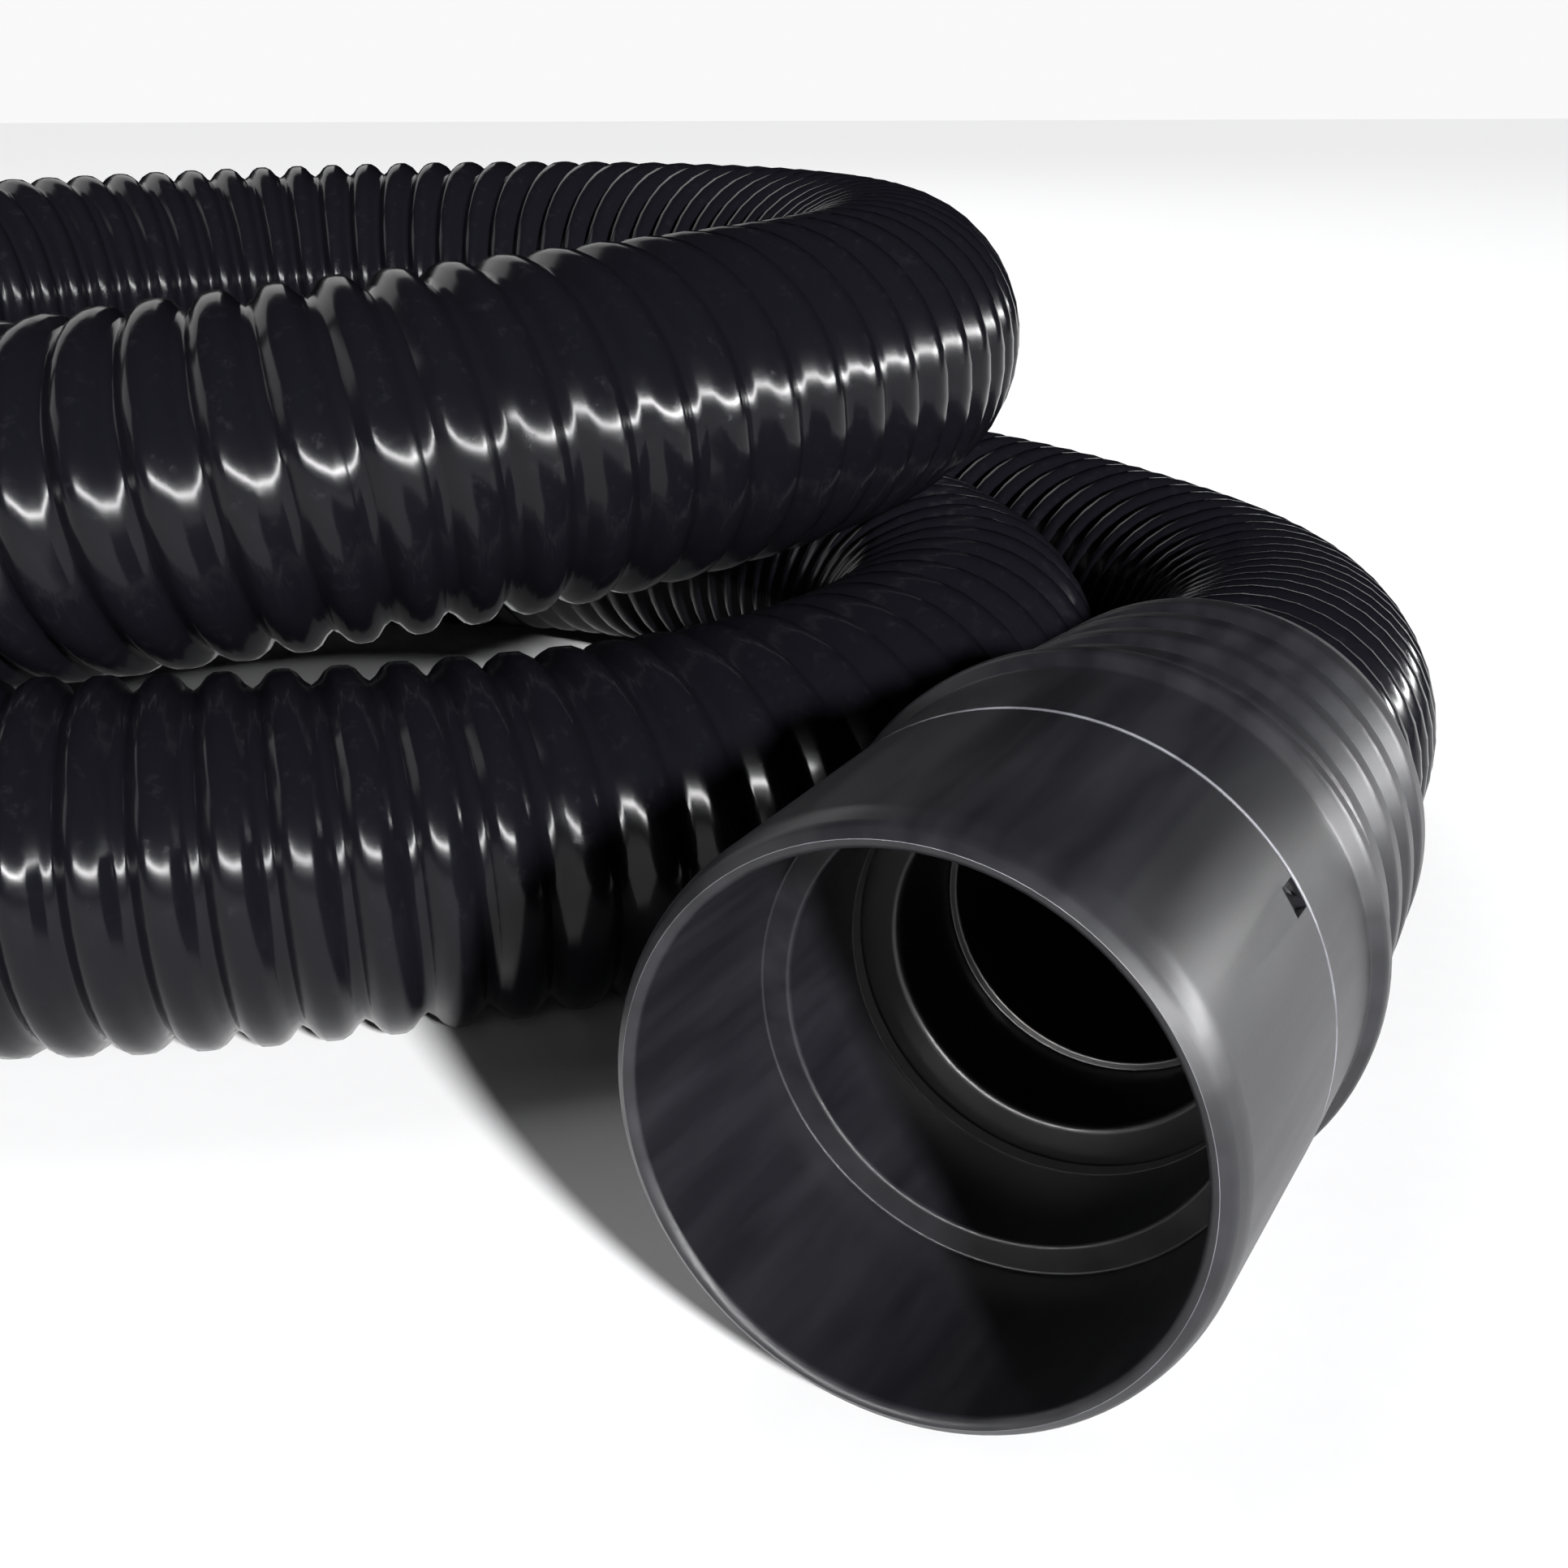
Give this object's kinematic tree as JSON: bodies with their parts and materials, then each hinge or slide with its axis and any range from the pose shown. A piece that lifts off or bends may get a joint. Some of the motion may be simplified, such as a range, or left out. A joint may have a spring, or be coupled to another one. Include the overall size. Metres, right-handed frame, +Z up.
{
  "type": "vacuum hose",
  "caption": "Coiled corrugated hose for pool vacuuming, with a moulded push-on cuff at each end; the cuff at one end swivels on the hose",
  "frame": {"origin": "on the ground plane, under the middle of the whole coiled hose", "axes": "+Z up; the swivel cuff's mouth faces mostly along -Y and a little along -X; the fixed cuff's mouth faces -Y"},
  "size_m": [0.3446, 0.3866, 0.108],
  "materials": {
    "hose_wall": "glossy black spiral-corrugated polyethylene",
    "cuff_moulding": "satin black injection-moulded polyethylene",
    "hose_sleeve": "satin black moulded liner",
    "seal_rubber": "matt black rubber",
    "washer_nylon": "natural nylon"
  },
  "bodies": {
    "hose": {"hose_coil": "hose_wall", "hose_lead_swivel_end": "hose_wall", "hose_lead_fixed_end": "hose_wall", "swivel_hose_sleeve": "hose_sleeve", "fixed_cuff_barrel": "cuff_moulding", "fixed_cuff_collar": "cuff_moulding", "fixed_hose_sleeve": "hose_sleeve", "fixed_seal_ring": "seal_rubber"},
    "swivel_cuff": {"swivel_cuff_barrel": "cuff_moulding", "swivel_cuff_collar": "cuff_moulding", "swivel_seal_ring": "seal_rubber", "swivel_thrust_washer": "washer_nylon"}
  },
  "joints": [
    {"name": "cuff_swivel", "type": "hinge", "parent": "hose", "child": "swivel_cuff", "pos_m": [0.08375, -0.14173, 0.03], "axis": [0.5693, 0.8221, 0], "continuous": true}
  ]
}
